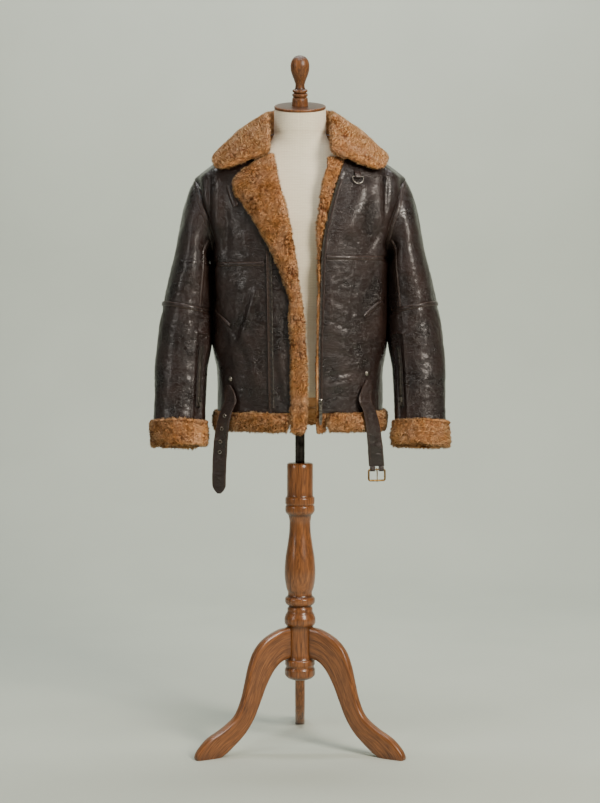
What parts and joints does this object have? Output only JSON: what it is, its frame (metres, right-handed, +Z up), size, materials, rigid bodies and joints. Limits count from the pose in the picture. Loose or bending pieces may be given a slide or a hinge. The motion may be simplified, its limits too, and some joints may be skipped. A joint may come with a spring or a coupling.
{
  "type": "shearling coat on a dress form and tripod stand",
  "caption": "Open flying-style shearling coat of dark brown leather with tan wool collar, lapel, cuffs and hem, on a linen dress form with a turned wooden tripod stand.",
  "frame": {"origin": "on the floor, at the middle of the whole object's footprint box", "axes": "+Z is up; the coat faces -Y, so the wearer's right is at -X and the stand's third leg points to +Y"},
  "size_m": [0.6846, 0.4268, 1.5866],
  "materials": {
    "dark_brown_leather": "glossy dark brown nappa with a fine grain and soft creases",
    "tan_wool": "clipped honey-tan shearling wool",
    "zip_tape": "dark woven zip tape with antique metal teeth",
    "old_nickel": "antique nickel, lightly worn",
    "old_brass": "aged brass",
    "cream_linen": "cream linen stretched over the form",
    "turned_wood": "stained and varnished turned wood",
    "dark_wood": "darker varnished turned wood",
    "dark_steel": "dark polished steel tube"
  },
  "bodies": {
    "coat_on_stand": {"back": "dark_brown_leather", "belt_left": "dark_brown_leather", "belt_loop_a": "dark_brown_leather", "belt_loop_b": "dark_brown_leather", "belt_right": "dark_brown_leather", "belt_stud_left": "old_nickel", "belt_stud_right": "old_nickel", "collar": "tan_wool", "column": "turned_wood", "cuff_left": "tan_wool", "cuff_right": "tan_wool", "d_ring_keeper": "dark_brown_leather", "dress_form": "cream_linen", "elbow_tape_left": "dark_brown_leather", "elbow_tape_right": "dark_brown_leather", "facing_left": "tan_wool", "finial": "dark_wood", "front_fly": "dark_brown_leather", "front_left_lower": "dark_brown_leather", "front_left_upper": "dark_brown_leather", "front_right_lower": "dark_brown_leather", "front_right_upper": "dark_brown_leather", "hem_back": "tan_wool", "hem_left": "tan_wool", "hem_right": "tan_wool", "lapel_right": "tan_wool", "leg_back": "turned_wood", "leg_left": "turned_wood", "leg_right": "turned_wood", "neck_cap": "dark_wood", "pocket_welt_left": "dark_brown_leather", "pocket_welt_right": "dark_brown_leather", "pole": "dark_steel", "sleeve_left_lower": "dark_brown_leather", "sleeve_left_upper": "dark_brown_leather", "sleeve_right_lower": "dark_brown_leather", "sleeve_right_upper": "dark_brown_leather", "sleeve_tape_left": "dark_brown_leather", "sleeve_tape_right": "dark_brown_leather", "sleeve_zip_left": "zip_tape", "sleeve_zip_left_slider": "old_nickel", "sleeve_zip_right": "zip_tape", "sleeve_zip_right_slider": "old_nickel", "throat_tab": "dark_brown_leather", "yoke_tape_left": "dark_brown_leather", "yoke_tape_right": "dark_brown_leather", "zip_front_slider": "old_nickel", "zip_left": "zip_tape", "zip_right": "zip_tape"},
    "zip_front_pull": {"zip_front_pull": "old_nickel"},
    "sleeve_zip_left_pull": {"sleeve_zip_left_pull": "old_nickel"},
    "sleeve_zip_right_pull": {"sleeve_zip_right_pull": "old_nickel"},
    "d_ring": {"d_ring": "old_nickel"},
    "buckle_frame": {"buckle_frame": "old_brass"},
    "buckle_prong": {"buckle_prong": "old_brass"}
  },
  "joints": [
    {"name": "front_zip_pull_hinge", "type": "hinge", "parent": "coat_on_stand", "child": "zip_front_pull", "pos_m": [0.04611, -0.19567, 0.80715], "axis": [-0.9965, -0.0832, 0], "range_deg": [0, 110]},
    {"name": "left_sleeve_zip_pull_hinge", "type": "hinge", "parent": "coat_on_stand", "child": "sleeve_zip_left_pull", "pos_m": [0.22481, -0.147, 0.80975], "axis": [-0.726, 0.6877, 0], "range_deg": [0, 110]},
    {"name": "right_sleeve_zip_pull_hinge", "type": "hinge", "parent": "coat_on_stand", "child": "sleeve_zip_right_pull", "pos_m": [-0.22481, -0.147, 0.80975], "axis": [-0.726, -0.6877, 0], "range_deg": [0, 110]},
    {"name": "d_ring_hinge", "type": "hinge", "parent": "coat_on_stand", "child": "d_ring", "pos_m": [0.12871, -0.17229, 1.30745], "axis": [-0.9702, -0.2425, 0], "range_deg": [0, 100]},
    {"name": "buckle_hinge", "type": "hinge", "parent": "coat_on_stand", "child": "buckle_frame", "pos_m": [0.17293, -0.15447, 0.6525], "axis": [-0.9714, -0.2374, 0], "range_deg": [-60, 60]},
    {"name": "prong_hinge", "type": "hinge", "parent": "buckle_frame", "child": "buckle_prong", "pos_m": [0.17293, -0.15447, 0.6525], "axis": [-0.9714, -0.2374, 0], "range_deg": [0, 75]}
  ]
}
